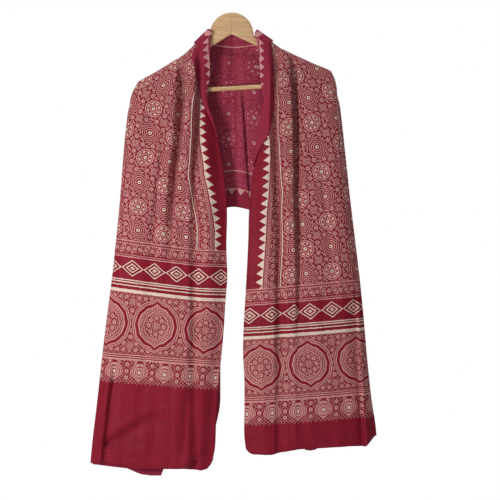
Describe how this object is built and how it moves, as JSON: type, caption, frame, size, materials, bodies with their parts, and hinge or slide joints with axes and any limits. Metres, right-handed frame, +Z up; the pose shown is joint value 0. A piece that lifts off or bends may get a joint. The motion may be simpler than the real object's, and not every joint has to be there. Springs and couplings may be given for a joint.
{
  "type": "block-printed stole on a wooden coat hanger",
  "caption": "Madder red block-printed stole draped like a shawl over a flat wooden coat hanger, its folded ends hanging down in front.",
  "frame": {"origin": "the hook seat on top of the hanger's head", "axes": "+Z up, +X to the right along the hanger, -Y out of the front of the stole"},
  "size_m": [0.6572, 0.065, 1.0646],
  "materials": {
    "printed_cloth": "soft silky sheen",
    "pale_wood": "satin"
  },
  "bodies": {
    "root": {"stole": "printed_cloth", "hanger_body": "pale_wood", "hanger_bar": "pale_wood"}
  },
  "joints": []
}
